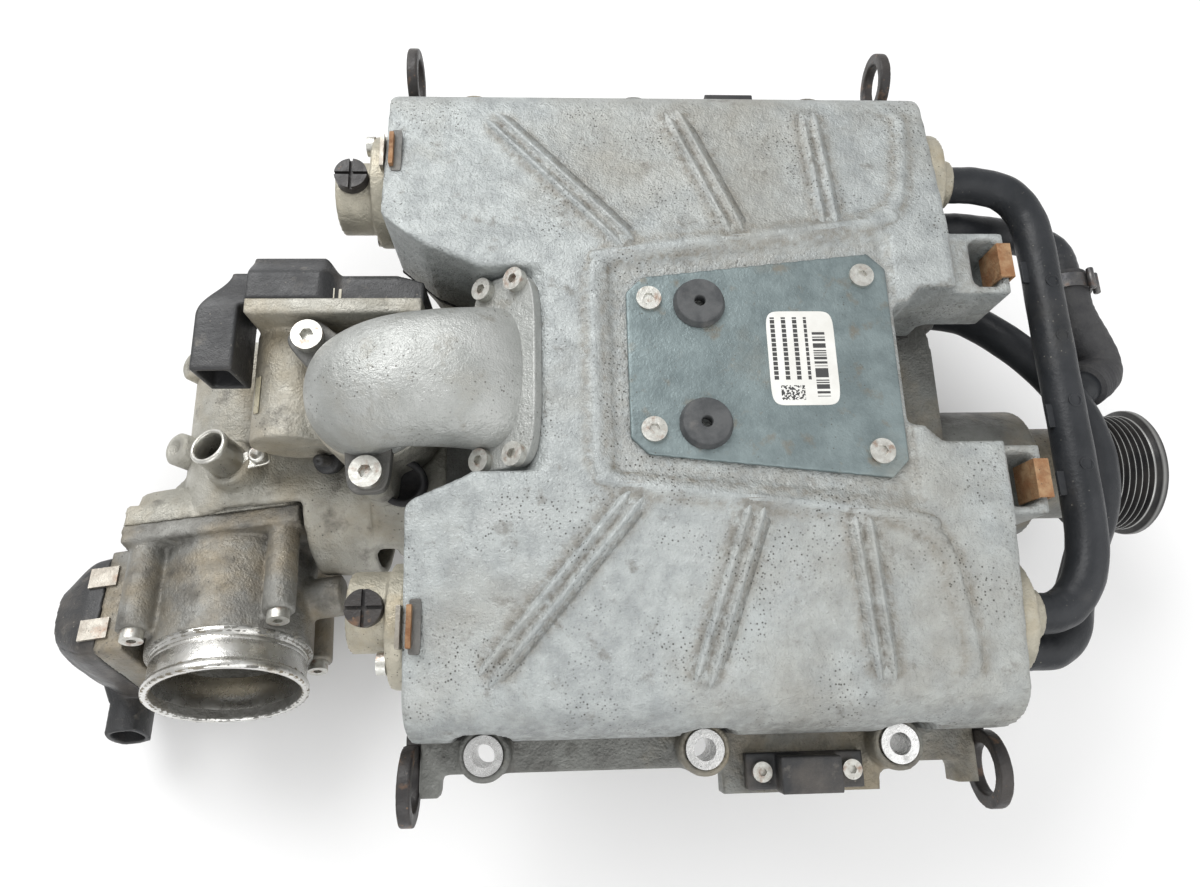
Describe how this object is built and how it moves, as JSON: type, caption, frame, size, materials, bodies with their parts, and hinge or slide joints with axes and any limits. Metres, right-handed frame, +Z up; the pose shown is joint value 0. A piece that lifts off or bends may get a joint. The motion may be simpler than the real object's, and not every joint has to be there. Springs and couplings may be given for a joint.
{
  "type": "supercharger",
  "caption": "Twin-rotor supercharger module with charge coolers, a bypass valve and a throttle valve, bolted between two cylinder banks.",
  "frame": {"origin": "centre of the six mounting bolts, in the plane where the flange sits on the cylinder heads", "axes": "+X along the rotors to the drive pulley, +Y across the engine, +Z up from the mounting plane through the cover"},
  "size_m": [0.6003, 0.415, 0.1989],
  "materials": {
    "cast_cover": "fine cast, dusty, stained brown beside the ribs",
    "cast_lower": "rough cast, oily",
    "cast_end": "cast, yellowed",
    "gasket": "black sealing bead",
    "zinc_plate": "dull zinc sheet, mottled",
    "zinc_screws": "zinc plated, rust in the drive",
    "grommet_rubber": "matte, dusty",
    "cooler_core": "brazed",
    "black_screw": "moulded",
    "bearing_steel": "ground",
    "bright_bush": "machined bright",
    "black_paint": "black paint, rust in the holes",
    "rusty_spring": "rusted spring steel",
    "pipe_plastic": "satin moulded",
    "hose_rubber": "matte rubber",
    "dark_steel": "dark spring steel",
    "sensor_plastic": "moulded, dusty",
    "elbow_alloy": "blasted, smooth",
    "valve_casting": "cast, soiled",
    "cover_plastic": "moulded, scuffed",
    "motor_steel": "drawn can",
    "nozzle_alloy": "turned",
    "throttle_casting": "cast, brown grime, bright turned spigot",
    "spring_clip": "stainless strip",
    "pulley_black": "black, groove crests worn bright",
    "shaft_steel": "ground",
    "coupling_polymer": "hard polymer",
    "gear_steel": "hobbed",
    "rotor_alloy": "coated",
    "brass_disc": "turned",
    "gear_plastic": "moulded nylon"
  },
  "bodies": {
    "module": {"blower_housing": "cast_lower", "cover_gasket": "gasket", "top_cover": "cast_cover", "damper_plate": "zinc_plate", "damper_screws": "zinc_screws", "cover_grommets": "grommet_rubber", "charge_coolers": "cooler_core", "rear_cooler_cap_left": "cast_end", "rear_cooler_cap_right": "cast_end", "front_cooler_caps": "cast_end", "cooler_cap_screws": "zinc_screws", "bleed_screws": "black_screw", "bearing_plate": "cast_lower", "bearing_races": "bearing_steel", "drive_housing": "cast_lower", "casing_bolts": "zinc_screws", "shaft_seal": "gasket", "mounting_bushes": "bright_bush", "front_lifting_eyes": "black_paint", "rear_lifting_eyes": "black_paint", "cover_clips": "rusty_spring", "upper_coolant_pipe": "pipe_plastic", "lower_coolant_pipe": "pipe_plastic", "branch_pipe": "pipe_plastic", "branch_hose": "hose_rubber", "hose_clamp": "dark_steel", "pressure_sensors": "sensor_plastic", "sensor_screws": "zinc_screws", "elbow_pipe": "elbow_alloy", "bypass_body": "valve_casting", "bypass_cover": "cover_plastic", "valve_motors": "motor_steel", "inlet_adapter": "valve_casting", "inlet_nozzle": "nozzle_alloy", "throttle_body": "throttle_casting", "throttle_cover": "cover_plastic", "throttle_clips": "spring_clip", "throttle_screws": "zinc_screws"},
    "drive_rotor": {"pulley": "pulley_black", "pulley_bolt": "dark_steel", "drive_shaft": "shaft_steel", "drive_coupling": "coupling_polymer", "timing_gear_a": "gear_steel", "rotor_a": "rotor_alloy", "bearing_inner_rings_a": "bearing_steel"},
    "idle_rotor": {"rotor_b": "rotor_alloy", "timing_gear_b": "gear_steel", "bearing_inner_rings_b": "bearing_steel"},
    "bypass_valve": {"bypass_flap": "brass_disc", "bypass_shaft": "shaft_steel", "bypass_final_gear": "gear_plastic"},
    "bypass_idler_gear": {"bypass_idler": "gear_plastic"},
    "bypass_motor_pinion": {"bypass_pinion": "brass_disc"},
    "throttle_valve": {"throttle_plate": "brass_disc", "throttle_shaft": "shaft_steel", "throttle_final_gear": "gear_plastic"},
    "throttle_idler_gear": {"throttle_idler": "gear_plastic"},
    "throttle_motor_pinion": {"throttle_pinion": "brass_disc"}
  },
  "joints": [
    {"name": "drive_spin", "type": "hinge", "parent": "module", "child": "drive_rotor", "pos_m": [0, -0.028, -0.0315], "axis": [1, 0, 0], "continuous": true},
    {"name": "idle_rotor_spin", "type": "hinge", "parent": "module", "child": "idle_rotor", "pos_m": [0, 0.028, -0.0315], "axis": [1, 0, 0], "continuous": true},
    {"name": "bypass_turn", "type": "hinge", "parent": "module", "child": "bypass_valve", "pos_m": [-0.144, 0, 0.028], "axis": [0, 1, 0], "range_deg": [0, 85]},
    {"name": "bypass_idler_turn", "type": "hinge", "parent": "module", "child": "bypass_idler_gear", "pos_m": [-0.16807, 0, 0.03475], "axis": [0, 1, 0], "range_deg": [-225, 5]},
    {"name": "bypass_pinion_turn", "type": "hinge", "parent": "module", "child": "bypass_motor_pinion", "pos_m": [-0.187, 0, 0.02], "axis": [0, 1, 0], "range_deg": [-5, 665]},
    {"name": "throttle_turn", "type": "hinge", "parent": "module", "child": "throttle_valve", "pos_m": [-0.23036, -0.09604, -0.03944], "axis": [0.993, 0.1184, 0], "range_deg": [0, 84]},
    {"name": "throttle_idler_turn", "type": "hinge", "parent": "module", "child": "throttle_idler_gear", "pos_m": [-0.23019, -0.09748, -0.0644], "axis": [0.993, 0.1184, 0], "range_deg": [-225, 5]},
    {"name": "throttle_pinion_turn", "type": "hinge", "parent": "module", "child": "throttle_motor_pinion", "pos_m": [-0.22851, -0.11155, -0.08378], "axis": [0.993, 0.1184, 0], "range_deg": [-5, 665]}
  ],
  "couplings": [
    {"joint": "idle_rotor_spin", "follows": "drive_spin", "ratio": -1},
    {"joint": "bypass_idler_turn", "follows": "bypass_turn", "ratio": -2.5714},
    {"joint": "bypass_pinion_turn", "follows": "bypass_turn", "ratio": 7.7143},
    {"joint": "throttle_idler_turn", "follows": "throttle_turn", "ratio": -2.5714},
    {"joint": "throttle_pinion_turn", "follows": "throttle_turn", "ratio": 7.7143}
  ]
}
